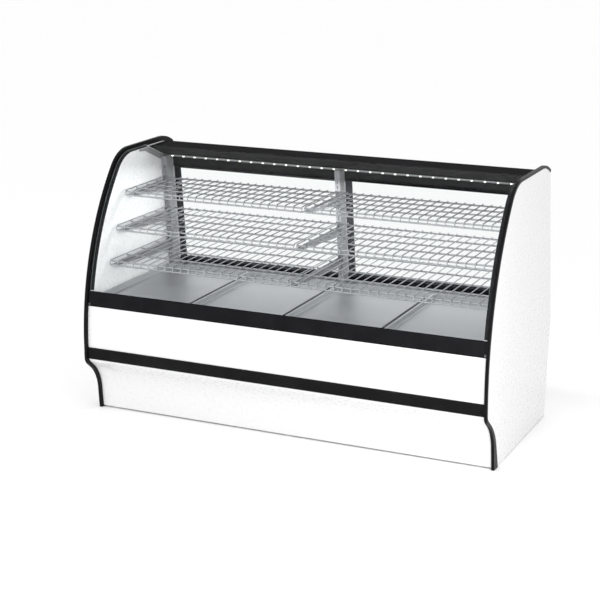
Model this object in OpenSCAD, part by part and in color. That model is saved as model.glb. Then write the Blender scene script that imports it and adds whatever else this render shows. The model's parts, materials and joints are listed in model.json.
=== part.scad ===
// Curved-glass bakery display case: white ends with black edge mouldings, a tilting front glass,
// three tiers of wire shelves, a tray deck, a lit canopy and two sliding rear doors.
// X runs along the case, -Y faces the shopper, +Z is up. The origin is on the floor, in the middle.

/* [Case] */
// Overall length, over the end mouldings
case_w = 1962; // [1500:1:2400]
// Overall depth
case_d = 920; // [880:1:960]
// Overall height
case_h = 1208; // [1180:1:1240]
// Thickness of each end, from the moulding's outer face to the inner liner
end_t = 36; // [36:1:50]

/* [Front profile] */
// Radius of the big front curve
front_r = 1252; // [1150:1:1350]
// Height at which the front curve starts
belly_z = 350; // [340:1:380]
// Radius of the crown, where the front turns into the top
crown_r = 184; // [150:1:220]
// Radius of the brow below the bumper
brow_r = 50; // [40:1:60]
// Height of the brow's centre
brow_z = 280; // [270:1:300]
// Turn of the brow towards the toe space
brow_turn = 50; // [40:1:55]
// Straight stretch between the brow and the toe sweep
slope_len = 35; // [20:1:45]
// Radius of the toe sweep
sweep_r = 173; // [150:1:190]
// Lean of the toe
toe_lean = 5; // [3:1:8]

/* [Rear profile] */
// Where the top starts to fall towards the rear
tail_y = 260; // [240:1:280]
// Radius of that fall
tail_r = 235; // [220:1:260]
// Turn of that fall
tail_turn = 33; // [28:1:36]
// Height of the knee in the rear edge
knee_z = 467; // [440:1:500]
// Depth of the rear edge at the floor
foot_y = 400; // [380:1:420]

/* [Front skin] */
// Bottom of the black bumper
bumper_z0 = 272; // [260:1:280]
// Top of the black bumper
bumper_z1 = 325; // [310:1:335]
// Bottom of the rail that carries the glass
rail_z0 = 524; // [515:1:530]
// Top of that rail
rail_z1 = 590; // [580:1:600]
// Set-back of the white front skin behind the mouldings
skin_e = 15; // [12:1:18]
// Thickness of the front glass
glass_t = 6; // [5:0.5:8]

/* [Shelves] */
// Height of the lowest shelf
shelf_z = 716; // [700:1:730]
// Step between shelves
shelf_step = 152; // [140:1:160]
// Front edge of each shelf, lowest first
shelf_front = [-304, -237, -150];
// Height of a shelf's ladder edge
ladder_h = 30; // [24:1:34]
// Pitch of the shelf wires
wire_pitch = 42; // [34:1:50]
// Thickness of a shelf wire
wire_t = 5; // [4:0.2:6]

/* [Deck] */
// Top of the deck floor
deck_z = 548; // [545:1:550]
// Width of a deck tray
tray_w = 457; // [440:1:457]
// Length of a deck tray, front to back
tray_d = 660; // [600:1:660]
// Height of a deck tray
tray_h = 25; // [20:1:30]

/* [Rear doors] */
// Thickness of a door frame
door_t = 12; // [10:0.5:12]
// Overlap of the two doors at the middle
door_lap = 40; // [30:1:50]

/* [Hidden] */

WHITE = "white";
BLACK = "#1c1c1e";
GREY = "#8d9094";
STEEL = "#b9bcc0";
CLEAR = [0.85, 0.93, 0.95, 0.3];

half_w = case_w / 2;
half_d = case_d / 2;
arc_n = 24;                            // steps in a long arc
fit_gap = 0.2;                         // gap between neighbours in one body
face_w = 14;                           // the moulding's face, seen from the front
skin_x = half_w - face_w - 0.6;        // half length of the front skin
inner_x = half_w - end_t;              // inner face of the liners
flange_e = 13;                         // width of the moulding's outer flange
reveal_e = 24;                         // depth of the moulding's inner wall
toe_flare = 37;                        // how much the flange widens at the floor
flare_z = 230;                         // height at which it starts to widen
sheet_t = 2;                           // sheet metal
glass_e1 = skin_e + glass_t;           // inner face of the front glass
glass_end_y = 118;                     // rear edge of the front glass
glass_half = skin_x - 3;
glass_foot = 18;                       // how far above the hinge the glass ends
pin_r = 5;                             // pins of the glass rail and their clearance
pin_gap = 0.05;
hinge_r = 8;                           // round heel of the glass rail
hinge_z = rail_z0 + hinge_r;
hinge_y = -428;
rail_e0 = 11;                          // front and back of the glass rail
rail_e1 = 24;
canopy_z = case_h - glass_e1 - 0.5;    // top of the canopy
canopy_front_y = 108;                  // its upper front edge
canopy_lip_y = 250;                    // its lower front edge
canopy_back_y = 368;                   // its lower back edge
canopy_under_z = 1124;                 // its underside
tube_w = 40;                           // base frame tube
frame_half = 920;                      // half length of the base frame
frame_z = 30;                          // its clearance over the floor
feet_x = [-900, 0, 900];
feet_y = [-300, 360];
stud_r = 5;                            // stud of a levelling foot
rib_x = [-940, -470, 0, 470, 940];
tray_gap = 14;                         // gap between two trays
tray_y = -402;                         // front edge of the trays
rim_w = 9;                             // rolled rim of a tray
brow_c = [-half_d + brow_r, brow_z];
brow_n = [cos(180 + brow_turn), sin(180 + brow_turn)];
sweep_c = brow_c + (brow_r + sweep_r) * brow_n + slope_len * [sin(brow_turn), -cos(brow_turn)];
belly_c = [-half_d + front_r, belly_z];
crown_turn = asin((case_h - crown_r - belly_z) / (front_r - crown_r));
crown_c = belly_c + (front_r - crown_r) * [-cos(crown_turn), sin(crown_turn)];
tail_c = [tail_y, case_h - tail_r];
rear_lean = atan((half_d - 4 - tail_end(0)[0]) / (tail_end(0)[1] - knee_z));
foot_lean = atan((half_d - foot_y) / knee_z);
track_y = [-50, -34];                  // inner face of each door, behind the rear edge line
door_w0 = 94;                          // bottom of the doors, up the rear slope from the knee
door_w1 = 602;
header_w1 = 664;                       // top of the header over the doors
stile_w = 30;
door_half = inner_x - 3;
upright_y = -168;                      // front face of the uprights, from the rear edge line
upright_d = 58;
upright_w = 26;
upright_w0 = 99;
upright_w1 = 670;
upright_x = inner_x - upright_w / 2 - 4.4;
slot_pitch = 25.4;
slot_n = 20;
lamp_half = inner_x - upright_w - 5;   // half length of the light
led_n = 30;
led_pitch = 62;
lens_r = 5;                            // lens of a lamp
lens_h = 6;
pull_z = (door_w0 + door_w1) / 2;      // middle of a finger pull
pull_size = [16, 8, 100];
screw_x = [-900, -450, 0, 450, 900];   // screws of the rear panel
screw_z = [60, 250];
switch_x = 700;
switch_z = 380;
switch_tilt = 10;
rocker_pin_r = 1.2;
gland_x = -800;
gland_z = 370;
cover_z0 = 311;                        // service cover, bottom and top
cover_z1 = 497;
cover_t = 9;                           // its stand-off at the bottom

// ---- outlines, in the YZ plane ----

function arc(c, r, a0, a1, n) =
    [for (i = [0:n]) let (a = a0 + (a1 - a0) * i / n) c + r * [cos(a), sin(a)]];

function tail_end(e) = tail_c + (tail_r - e) * [sin(tail_turn), cos(tail_turn)];

function toe_top(e) = sweep_c + (sweep_r + e) * [cos(toe_lean), sin(toe_lean)];

// The front and top outline at a depth e inside the mouldings' outer edge, from the floor up.
function front_line(e) = concat(
    [[toe_top(e)[0] + toe_top(e)[1] * tan(toe_lean), 0]],
    arc(sweep_c, sweep_r + e, toe_lean, brow_turn, 10),
    arc(brow_c, brow_r - e, 180 + brow_turn, 180, 8),
    arc(belly_c, front_r - e, 180, 180 - crown_turn, arc_n),
    arc(crown_c, crown_r - e, 180 - crown_turn - 5, 90, 10),
    arc(tail_c, tail_r - e, 90, 90 - tail_turn, 8)
);

// The rear edge line: straight from the top end of the moulding to the knee, then in to the foot.
function rear_y(z) = z > knee_z
    ? half_d - 4 - (z - knee_z) * tan(rear_lean)
    : half_d - 4 - (knee_z - z) * tan(foot_lean);

module region(e, r = 0)
    polygon(concat(
        front_line(e),
        [for (z = [tail_end(e)[1], knee_z, 0]) [rear_y(z) - r, z]]
    ));

module slab(z0, z1, y0 = -half_d, y1 = half_d)
    translate([y0, z0]) square([y1 - y0, z1 - z0]);

// A skin that follows the front outline, between two depths and two heights.
module band(e0, e1, z0, z1)
    intersection() {
        difference() {
            region(e0);
            region(e1);
        }
        slab(z0, z1, -half_d, 0);
    }

module flange_region()
    polygon(concat(
        [for (p = front_line(flange_e)) [p[0] + toe_flare * max(0, 1 - p[1] / flare_z), p[1]]],
        [for (z = [tail_end(flange_e)[1], knee_z, 0]) [rear_y(z) + 1, z]]
    ));

// ---- placing ----

module along_x(x0, x1)
    translate([x0, 0, 0]) rotate([90, 0, 90]) linear_extrude(x1 - x0) children();

module sided(side)
    if (side < 0) mirror([1, 0, 0]) children();
    else children();

// Turns a shape into the plane of the rear edge: y is out of it, z is up it, from the knee.
module rear_slope()
    translate([0, half_d - 4, knee_z]) rotate([rear_lean, 0, 0]) children();

module box(x0, x1, y0, y1, z0, z1)
    translate([x0, y0, z0]) cube([x1 - x0, y1 - y0, z1 - z0]);

// ---- base ----

module tube(size)
    difference() {
        cube(size);
        for (k = [0:2])
            if (size[k] > tube_w)
                translate([for (j = [0:2]) j == k ? -1 : sheet_t])
                    cube([for (j = [0:2]) j == k ? size[k] + 2 : size[j] - 2 * sheet_t]);
    }

module base_frame()
    color(STEEL) difference() {
        union() {
            for (z = [frame_z, deck_z - sheet_t - tube_w], y = feet_y)
                translate([-frame_half, y - tube_w / 2, z])
                    tube([2 * frame_half, tube_w, tube_w]);
            for (z = [frame_z, deck_z - sheet_t - tube_w], x = feet_x)
                translate([x - tube_w / 2, feet_y[0] + tube_w / 2, z])
                    tube([tube_w, feet_y[1] - feet_y[0] - tube_w, tube_w]);
            for (x = feet_x, y = feet_y)
                translate([x - tube_w / 2, y - tube_w / 2, frame_z + tube_w])
                    tube([tube_w, tube_w, deck_z - sheet_t - 2 * tube_w - frame_z]);
        }
        for (x = feet_x, y = feet_y)
            translate([x, y, frame_z - 1]) cylinder(r = stud_r + fit_gap, h = 4, $fn = 32);
    }

module levelling_feet()
    color(STEEL) for (x = feet_x, y = feet_y) translate([x, y, 0]) {
        cylinder(r = 22, h = 8, $fn = 48);
        cylinder(r = stud_r, h = 60, $fn = 32);
        translate([0, 0, 18]) cylinder(r = 9, h = 8, $fn = 6);
    }

module front_ribs()
    color(STEEL) for (x = rib_x)
        along_x(x - 1.5, x + 1.5) intersection() {
            region(skin_e + sheet_t + fit_gap);
            slab(14, rail_z0 - 4, -half_d, feet_y[0] - tube_w / 2 - fit_gap);
        }

module kick_panel()
    color(WHITE) along_x(-skin_x, skin_x) band(skin_e, skin_e + sheet_t, 6, bumper_z0 - 1);

module bumper_strip()
    color(BLACK) along_x(-skin_x, skin_x) band(skin_e - 6, skin_e + sheet_t, bumper_z0, bumper_z1);

module front_panel()
    color(WHITE) along_x(-skin_x, skin_x)
        band(skin_e, skin_e + sheet_t, bumper_z1 + 1, rail_z0 - 2);

// ---- tilting glass ----

module hinge_block()
    difference() {
        union() {
            translate([skin_x - 11, hinge_y, hinge_z]) rotate([0, 90, 0])
                cylinder(r = hinge_r, h = 11, $fn = 48);
            box(skin_x - 11, skin_x, hinge_y, hinge_y + 26, hinge_z - hinge_r, hinge_z + 6);
            box(skin_x - 11, skin_x, hinge_y + 8, hinge_y + 26, hinge_z - 34, hinge_z);
        }
        translate([skin_x - 12, hinge_y, hinge_z]) rotate([0, 90, 0])
            cylinder(r = pin_r + pin_gap, h = 13, $fn = 48);
    }

module hinge_blocks()
    color(STEEL) for (side = [-1, 1]) sided(side) hinge_block();

module glass_rail()
    color(BLACK) difference() {
        union() {
            along_x(-skin_x + 1.2, skin_x - 1.2)
                band(rail_e0, rail_e1, hinge_z + hinge_r, rail_z1);
            along_x(-skin_x + 12, skin_x - 12) {
                band(rail_e0, rail_e1, hinge_z, hinge_z + hinge_r + 1);
                translate([hinge_y, hinge_z]) circle(r = hinge_r, $fn = 48);
            }
            translate([-skin_x + 1, hinge_y, hinge_z]) rotate([0, 90, 0])
                cylinder(r = pin_r, h = 2 * skin_x - 2, $fn = 48);
        }
        along_x(-half_w, half_w)
            band(skin_e - fit_gap, glass_e1 + fit_gap, hinge_z + glass_foot, rail_z1 + 1);
    }

module front_glass()
    color(CLEAR) along_x(-glass_half, glass_half)
        intersection() {
            difference() {
                region(skin_e);
                region(glass_e1);
            }
            slab(hinge_z + glass_foot + fit_gap, case_h, -half_d, glass_end_y);
        }

// ---- ends ----

module end_panel(side)
    color(WHITE) sided(side)
        along_x(half_w - 11.8, half_w - 2.2) intersection() {
            region(3.2, 0);
            slab(3, case_h);
        }

module end_liner(side)
    color(WHITE) sided(side)
        along_x(inner_x, half_w - face_w - fit_gap) intersection() {
            region(reveal_e + fit_gap, 2);
            slab(deck_z - sheet_t, case_h);
        }

module end_moulding(side)
    color(BLACK) sided(side) {
        along_x(half_w - face_w, half_w) difference() {
            region(0);
            region(3);
            slab(-1, knee_z, 0, half_d + 1);
        }
        along_x(half_w - 2, half_w) difference() {
            region(0);
            flange_region();
        }
        along_x(half_w - face_w, half_w - face_w + 2) difference() {
            region(0);
            region(reveal_e);
            slab(-1, knee_z, 0, half_d + 1);
        }
    }

module glass_gaskets()
    color(BLACK) for (side = [-1, 1]) sided(side)
        along_x(inner_x + 2, half_w - face_w - 2) intersection() {
            difference() {
                region(glass_e1 + 0.4);
                region(reveal_e);
            }
            slab(rail_z1 + 4, case_h, -half_d, glass_end_y - 14);
        }

module gusset(side)
    color(GREY) sided(side)
        along_x(inner_x - 4, inner_x) polygon([
            [20, canopy_z - 4], [canopy_front_y - 4, canopy_z - 4],
            [canopy_lip_y - 8, canopy_under_z - 2], [300, canopy_under_z - 2],
            [300, 1096], [210, 1108], [74, 1168], [20, 1174]
        ]);

// ---- deck ----

module deck_floor()
    color(STEEL) {
        box(-inner_x + 0.5, inner_x - 0.5, -406, 444, deck_z - sheet_t, deck_z);
        box(-inner_x + 0.5, inner_x - 0.5, -408, -406, deck_z - 20, deck_z + 14);
    }

// A shallow sheet tray with a rolled rim, open at the top.
module deck_tray(i)
    color(STEEL) translate([(i - 1.5) * (tray_w + tray_gap), tray_y, deck_z])
        let (w = tray_w / 2, inset = rim_w + 1.2) difference() {
            union() {
                box(-w + rim_w, w - rim_w, rim_w, tray_d - rim_w, 0, tray_h);
                box(-w, w, 0, tray_d, tray_h - 3, tray_h);
            }
            box(-w + inset, w - inset, inset, tray_d - inset, 1.2, tray_h + 1);
        }

// ---- canopy and light ----

module canopy_section(t)
    polygon(concat(
        [[canopy_front_y + 2.6 * t, canopy_z - t]],
        arc(tail_c, canopy_z - tail_c[1] - t, 90, 90 - tail_turn, 8),
        [[canopy_back_y - t, canopy_under_z + t]],
        [[canopy_lip_y + 0.6 * t, canopy_under_z + t]]
    ));

module canopy()
    color(BLACK) along_x(-inner_x + fit_gap, inner_x - fit_gap) difference() {
        canopy_section(0);
        canopy_section(sheet_t);
    }

module led_channel()
    color(GREY) along_x(-lamp_half, lamp_half) difference() {
        slab(canopy_under_z - 12, canopy_under_z, canopy_lip_y, canopy_lip_y + 16);
        slab(canopy_under_z - 13, canopy_under_z - 3, canopy_lip_y - 1, canopy_lip_y + 14);
    }

module led_board()
    color("white")
        box(-lamp_half + 2, lamp_half - 2, canopy_lip_y + 3, canopy_lip_y + 13,
            canopy_under_z - 4.4, canopy_under_z - 3);

module led_chips()
    color("#fff6dc") for (i = [0:led_n - 1])
        translate([(i - (led_n - 1) / 2) * led_pitch, canopy_lip_y + 8, canopy_under_z - 4.4 - lens_h])
            cylinder(r = lens_r, h = lens_h, $fn = 32);

module led_driver()
    color(BLACK) box(300, 500, 290, 335, deck_z - sheet_t - 32, deck_z - sheet_t);

// ---- rear ----

module rear_header()
    color(BLACK) rear_slope() along_x(-inner_x + fit_gap, inner_x - fit_gap) {
        for (y = [[-55, -52], [-37, -35], [-20, -17]])
            translate([y[0], door_w1 - 12]) square([y[1] - y[0], 18]);
        translate([-55, door_w1 + 4]) square([38, 3]);
        for (y = [-55, -20])
            translate([y, door_w1 + 4]) square([3, header_w1 - door_w1 - 4]);
    }

module rear_sill()
    color(BLACK) rear_slope() along_x(-inner_x + fit_gap, inner_x - fit_gap) {
        for (y = [[-55, -52], [-37, -35], [-20, -17]])
            translate([y[0], door_w0 - 5]) square([y[1] - y[0], 15]);
        translate([-55, door_w0 - 6]) square([38, 4]);
    }

module rear_panel()
    color(WHITE) difference() {
        along_x(-skin_x + 0.5, skin_x - 0.5) polygon(concat(
            [for (z = [8, knee_z, deck_z - 6]) [rear_y(z), z]],
            [for (z = [deck_z - 6, knee_z, 8]) [rear_y(z) - sheet_t, z]]
        ));
        for (x = screw_x, z = screw_z)
            screw_at(x, z) cylinder(r = 2.2, h = 20, center = true, $fn = 24);
    }

// A screw's own frame, square to the lower rear panel.
module screw_at(x, z)
    translate([x, rear_y(z), z]) rotate([-90 - foot_lean, 0, 0]) children();

module panel_screws()
    color(STEEL) for (x = screw_x, z = screw_z) screw_at(x, z) {
        cylinder(r = 5, h = 2.2, $fn = 32);
        translate([0, 0, -10]) cylinder(r = 2, h = 11, $fn = 24);
    }

function cover_y(z) =
    let (y0 = rear_y(cover_z0) + cover_t)
    y0 + (half_d - y0) * (z - cover_z0) / (knee_z - cover_z0);

// A frame on the lower face of the service cover, with y pointing out of it.
module cover_face(x, z)
    translate([x, cover_y(z), z])
        rotate([-atan((cover_y(knee_z) - cover_y(cover_z0)) / (knee_z - cover_z0)), 0, 0])
            children();

module cover_outline(t)
    polygon([
        [rear_y(cover_z0) - 4, cover_z0 + t], [cover_y(cover_z0) - t, cover_z0 + t],
        [half_d - t, knee_z], [half_d - t, cover_z1 - 12], [rear_y(cover_z1) - 4, cover_z1 - t]
    ]);

module service_cover()
    color(BLACK) difference() {
        along_x(-skin_x + 2, skin_x - 2) difference() {
            cover_outline(0);
            cover_outline(1.6);
            polygon([for (p = [[8, 0.2], [knee_z, 0.2], [deck_z, 0.2], [deck_z, -30], [8, -30]])
                [rear_y(p[0]) + p[1], p[0]]]);
        }
        for (i = [-5:2], k = [0:2])
            box(i * 110 - 40, i * 110 + 40, 430, 470, 370 + 22 * k, 376 + 22 * k);
        cover_face(switch_x, switch_z) box(-9, 9, -20, 10, -14, 14);
        cover_face(gland_x, gland_z) rotate([-90, 0, 0])
            cylinder(r = 8, h = 30, center = true, $fn = 32);
    }

module switch_plate()
    color(BLACK) cover_face(switch_x, switch_z) difference() {
        union() {
            box(-14, 14, 0.1, 2.1, -19, 19);
            box(-8.8, 8.8, -6, 0.1, -13.8, 13.8);
        }
        box(-7, 7, -8, 3, -11.8, 11.8);
        rotate([0, 90, 0]) cylinder(r = rocker_pin_r + 0.1, h = 16, center = true, $fn = 32);
    }

module switch_rocker()
    color(BLACK) cover_face(switch_x, switch_z) rotate([switch_tilt, 0, 0]) {
        difference() {
            box(-6.4, 6.4, -4, 3.4, -10, 10);
            translate([0, 30, 0]) rotate([0, 90, 0])
                cylinder(r = 28.6, h = 20, center = true, $fn = 96);
        }
        rotate([0, 90, 0]) cylinder(r = rocker_pin_r, h = 15.8, center = true, $fn = 32);
    }

module cord_gland()
    color(BLACK) cover_face(gland_x, gland_z) rotate([-90, 0, 0]) difference() {
        union() {
            translate([0, 0, -6]) cylinder(r = 7.8, h = 8, $fn = 48);
            translate([0, 0, 0.1]) cylinder(r = 11, h = 4, $fn = 6);
        }
        translate([0, 0, -7]) cylinder(r = 4.5, h = 20, $fn = 48);
    }

// ---- uprights, brackets and shelves ----

function slope_y(z) = half_d - 4 - (z - knee_z) * tan(rear_lean) + upright_y / cos(rear_lean);

// A slotted channel that leans with the rear, notched at its top round the light channel.
module upright(x)
    color(GREY) difference() {
        rear_slope() difference() {
            box(x - upright_w / 2, x + upright_w / 2, upright_y, upright_y + upright_d,
                upright_w0, upright_w1);
            box(x - upright_w / 2 + 2, x + upright_w / 2 - 2, upright_y + 2,
                upright_y + upright_d + 1, upright_w0 - 1, upright_w1 + 1);
            for (i = [1:slot_n])
                box(x - 2, x + 2, upright_y - 1, upright_y + 3,
                    upright_w0 + i * slot_pitch, upright_w0 + i * slot_pitch + 14);
        }
        box(x - upright_w, x + upright_w, canopy_lip_y - 2, canopy_lip_y + 18,
            canopy_under_z - 14, case_h);
    }

// An arm under the shelf with a hook in the upright's slots.
module bracket(x, tier)
    let (z = shelf_z + tier * shelf_step - ladder_h - 1,
         y1 = slope_y(z) - fit_gap,
         y0 = shelf_front[tier] + 60)
        translate([x, 0, 0]) {
            along_x(-1.2, 1.2) polygon([
                [y0, z], [y0, z - 12], [y1 + 2.5, z - 42], [y1, z]
            ]);
            box(-upright_w / 2 + 3, upright_w / 2 - 3, y0, y1, z - 2, z);
        }

module brackets(tier)
    color(GREY) for (x = [-upright_x, 0, upright_x]) bracket(x, tier);

// A flat grid of square wires: n + 1 across, at even steps, and some lengthwise rails.
module grid(x0, x1, y0, y1, n, rails) {
    step = (x1 - x0 - wire_t) / n;
    for (i = [0:n]) translate([x0 + i * step, y0]) square([wire_t, y1 - y0]);
    for (k = [0:rails])
        translate([x0, y0 + (y1 - y0 - wire_t) * k / rails]) square([x1 - x0, wire_t]);
}

// Half a tier: front-to-back wires turned down into a ladder at the front edge.
module shelf(tier, side)
    color(STEEL) sided(side)
        let (top = shelf_z + tier * shelf_step,
             low = top - ladder_h,
             y0 = shelf_front[tier],
             y1 = slope_y(top) - 1,
             x0 = 5,
             x1 = inner_x - 18,
             n = round((x1 - x0) / wire_pitch)) {
            translate([0, 0, top - wire_t]) linear_extrude(wire_t) grid(x0, x1, y0, y1, n, 4);
            translate([0, y0 + wire_t, 0]) rotate([90, 0, 0])
                linear_extrude(wire_t) grid(x0, x1, low, top, n, 1);
            for (x = [x0, x1 - wire_t]) {
                box(x, x + wire_t, y0, y1, low, low + wire_t);
                box(x, x + wire_t, y1 - wire_t, y1, low, top);
            }
        }

// ---- doors ----

// side -1 is the left door, in the inner track; 1 is the right door, in the outer track.
function door_x0(side) = side < 0 ? -door_half : -door_lap / 2;
function door_x1(side) = side < 0 ? door_lap / 2 : door_half;
function door_y(side) = side < 0 ? track_y[0] : track_y[1];
function pull_x(side) = side < 0 ? -door_half + stile_w / 2 : door_half - stile_w / 2;

module pull_box(side, grow, depth)
    translate([pull_x(side) - pull_size[0] / 2 - grow, door_y(side) + door_t - depth,
               pull_z - pull_size[2] / 2 - grow])
        cube([pull_size[0] + 2 * grow, depth + (grow > 0 ? 1 : 0), pull_size[2] + 2 * grow]);

module pane(side, grow)
    box(door_x0(side) + stile_w - 6 - grow, door_x1(side) - stile_w + 6 + grow,
        door_y(side) + 3.5 - grow, door_y(side) + 8.5 + grow,
        door_w0 + 16 - grow, door_w1 - 16 + grow);

module door_frame(side)
    color(GREY) rear_slope() difference() {
        box(door_x0(side), door_x1(side), door_y(side), door_y(side) + door_t, door_w0, door_w1);
        box(door_x0(side) + stile_w, door_x1(side) - stile_w, -80, 10, door_w0 + 22, door_w1 - 22);
        pane(side, fit_gap);
        pull_box(side, fit_gap, pull_size[1] + fit_gap);
    }

module door_glass(side)
    color(CLEAR) rear_slope() pane(side, 0);

module door_pull(side)
    color(BLACK) rear_slope() difference() {
        pull_box(side, 0, pull_size[1]);
        translate([pull_x(side) - 6, door_y(side) + door_t - 6, pull_z - 46]) cube([12, 7, 92]);
    }

module door_glides(side)
    color(WHITE) rear_slope() for (x = [door_x0(side) + 80, door_x1(side) - 80])
        box(x - 25, x + 25, door_y(side) + 1, door_y(side) + door_t - 1, door_w0 - 1.7, door_w0);

base_frame();
levelling_feet();
front_ribs();
kick_panel();
bumper_strip();
front_panel();
hinge_blocks();
glass_rail();
front_glass();
end_panel(-1);  // end_panel_left
end_panel(1);  // end_panel_right
end_liner(-1);  // end_liner_left
end_liner(1);  // end_liner_right
end_moulding(-1);  // end_moulding_left
end_moulding(1);  // end_moulding_right
glass_gaskets();
gusset(-1);  // gusset_left
gusset(1);  // gusset_right
deck_floor();
deck_tray(0);  // deck_tray_1
deck_tray(1);  // deck_tray_2
deck_tray(2);  // deck_tray_3
deck_tray(3);  // deck_tray_4
canopy();
led_channel();
led_board();
led_chips();
led_driver();
rear_header();
rear_sill();
rear_panel();
service_cover();
panel_screws();
switch_plate();
switch_rocker();
cord_gland();
upright(-upright_x);  // upright_left
upright(0);  // upright_centre
upright(upright_x);  // upright_right
shelf(0, -1);  // shelf_low_left
shelf(0, 1);  // shelf_low_right
shelf(1, -1);  // shelf_mid_left
shelf(1, 1);  // shelf_mid_right
shelf(2, -1);  // shelf_top_left
shelf(2, 1);  // shelf_top_right
brackets(0);  // brackets_low
brackets(1);  // brackets_mid
brackets(2);  // brackets_top
door_frame(-1);  // door_left_frame
door_glass(-1);  // door_left_glass
door_pull(-1);  // door_left_pull
door_glides(-1);  // door_left_glides
door_frame(1);  // door_right_frame
door_glass(1);  // door_right_glass
door_pull(1);  // door_right_pull
door_glides(1);  // door_right_glides
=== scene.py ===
import json
import math

import bmesh
import bpy
from mathutils import Matrix, Vector

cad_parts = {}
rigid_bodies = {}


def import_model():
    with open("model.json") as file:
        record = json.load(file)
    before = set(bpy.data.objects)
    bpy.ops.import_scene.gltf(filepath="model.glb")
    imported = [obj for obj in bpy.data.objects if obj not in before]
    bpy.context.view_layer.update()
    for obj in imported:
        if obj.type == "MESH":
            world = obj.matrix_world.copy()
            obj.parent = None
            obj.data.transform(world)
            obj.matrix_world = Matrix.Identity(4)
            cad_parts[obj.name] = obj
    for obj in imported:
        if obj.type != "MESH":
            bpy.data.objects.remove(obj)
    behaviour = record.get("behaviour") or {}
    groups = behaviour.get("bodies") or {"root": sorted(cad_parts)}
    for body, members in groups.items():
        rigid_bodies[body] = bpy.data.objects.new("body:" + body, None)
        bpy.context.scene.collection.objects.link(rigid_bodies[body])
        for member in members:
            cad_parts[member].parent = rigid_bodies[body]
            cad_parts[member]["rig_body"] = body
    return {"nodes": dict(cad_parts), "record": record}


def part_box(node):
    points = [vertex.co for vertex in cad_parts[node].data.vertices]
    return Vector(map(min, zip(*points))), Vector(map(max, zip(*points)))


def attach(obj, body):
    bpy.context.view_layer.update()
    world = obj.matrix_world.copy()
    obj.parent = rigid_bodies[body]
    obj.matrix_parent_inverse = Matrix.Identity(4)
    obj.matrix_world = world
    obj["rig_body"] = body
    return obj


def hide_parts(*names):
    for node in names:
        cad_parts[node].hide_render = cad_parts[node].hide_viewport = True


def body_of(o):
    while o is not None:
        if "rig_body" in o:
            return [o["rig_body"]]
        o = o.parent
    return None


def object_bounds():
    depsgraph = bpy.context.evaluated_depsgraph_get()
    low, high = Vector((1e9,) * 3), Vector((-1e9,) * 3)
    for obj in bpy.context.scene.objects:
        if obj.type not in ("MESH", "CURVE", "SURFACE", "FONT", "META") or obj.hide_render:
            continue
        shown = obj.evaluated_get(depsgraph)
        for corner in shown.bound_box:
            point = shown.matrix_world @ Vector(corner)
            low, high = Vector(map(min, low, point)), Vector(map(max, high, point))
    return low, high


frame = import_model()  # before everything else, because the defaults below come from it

bl_info = {
    "name": "Glass display case",
    "version": (1, 0, 0),
    "blender": (4, 5, 0),
    "location": "View3D > Sidebar > Display Case",
    "description": "Finishes a curved-glass bakery display case around its CAD frame",
    "category": "Object",
}

CAD_LOW, CAD_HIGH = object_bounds()
HALF_LENGTH = CAD_HIGH.x
FRONT_Y = CAD_LOW.y
TOP_Z = CAD_HIGH.z
SLOTS = {part["node"]: part["material_slot"] for part in frame["record"]["subparts"]}
SIDES = {"left": -1, "right": 1}
TIERS = ("low", "mid", "top")

# From a tray's rim to its floor: how far in, and how far up, each ring lies from the one before.
TRAY_RINGS = (
    (0.0065, 0.0),  # flat rim
    (0.0022, -0.0016),  # turn into the wall
    (0.0034, -0.0185),  # sloping wall
    (0.0026, -0.0026),  # turn into the floor
    (0.0030, -0.0004),  # rim of the floor
)
# Where the rods under a shelf lie, as shares of its depth from the front.
SHELF_RODS = (0.03, 0.27, 0.51, 0.75, 0.985)


# ---- settings ----


def length(name, description, default):
    """A length setting, in metres."""
    return bpy.props.FloatProperty(
        name=name, description=description, default=default, min=0.0, unit="LENGTH", precision=4
    )


def turn(name, description, degrees):
    """An angle setting, given in degrees."""
    return bpy.props.FloatProperty(
        name=name, description=description, default=math.radians(degrees), subtype="ANGLE"
    )


def colour(name, description, default):
    """A colour setting."""
    return bpy.props.FloatVectorProperty(
        name=name, description=description, default=default, min=0.0, max=1.0, subtype="COLOR"
    )


class CaseProfile(bpy.types.PropertyGroup):
    """The curve of the front and top, which the mouldings and the front skins follow."""

    toe_lean: turn("Toe lean", "How far the toe leans back from upright", 5.0)
    sweep_radius: length("Sweep radius", "Radius of the toe sweep", 0.173)
    slope_length: length("Slope length", "Straight stretch between sweep and brow", 0.035)
    brow_radius: length("Brow radius", "Radius of the brow below the bumper", 0.050)
    brow_height: length("Brow height", "Height of the brow's centre", 0.280)
    brow_turn: turn("Brow turn", "Turn of the brow towards the toe", 50.0)
    belly_radius: length("Front radius", "Radius of the big front curve", 1.252)
    belly_height: length("Front start", "Height at which the front curve starts", 0.350)
    crown_radius: length("Crown radius", "Radius where the front turns into the top", 0.184)
    tail_start: length("Tail start", "Depth at which the top starts to fall", 0.260)
    tail_radius: length("Tail radius", "Radius of that fall", 0.235)
    tail_turn: turn("Tail turn", "Turn of that fall", 33.0)


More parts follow.
